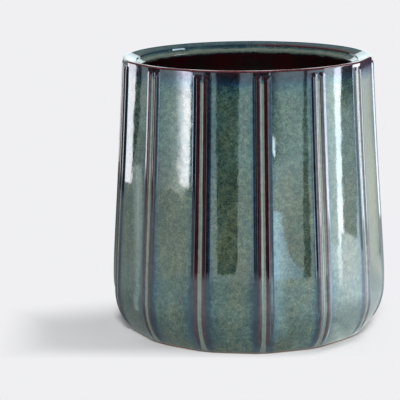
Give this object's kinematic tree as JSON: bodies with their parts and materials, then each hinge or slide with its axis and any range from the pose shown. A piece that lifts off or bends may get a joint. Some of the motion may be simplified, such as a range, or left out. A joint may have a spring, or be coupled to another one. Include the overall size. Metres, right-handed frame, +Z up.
{
  "type": "planter pot",
  "caption": "Round stoneware planter pot with twin-bead ribs, a reactive glaze, a stepped rim, a drain hole closed by a pull-out rubber bung, and non-slip dots under its base.",
  "frame": {"origin": "centre of the base, on the surface that the pot stands on", "axes": "+Z up along the pot's axis, one rib faces -Y"},
  "size_m": [0.177, 0.1798, 0.176],
  "materials": {
    "glazed_stoneware": "glossy reactive glaze, green-grey where it is thick and maroon where it is thin, bare clay at the foot",
    "bung_rubber": "matt moulded rubber",
    "dot_rubber": "matt rubber sheet"
  },
  "bodies": {
    "pot": {"pot_body": "glazed_stoneware", "foot_dot_1": "dot_rubber", "foot_dot_2": "dot_rubber", "foot_dot_3": "dot_rubber", "foot_dot_4": "dot_rubber"},
    "bung": {"drain_bung": "bung_rubber"}
  },
  "joints": [
    {"name": "bung_lift", "type": "slide", "parent": "pot", "child": "bung", "axis": [0, 0, 1], "range_m": [0, 0.19]}
  ]
}
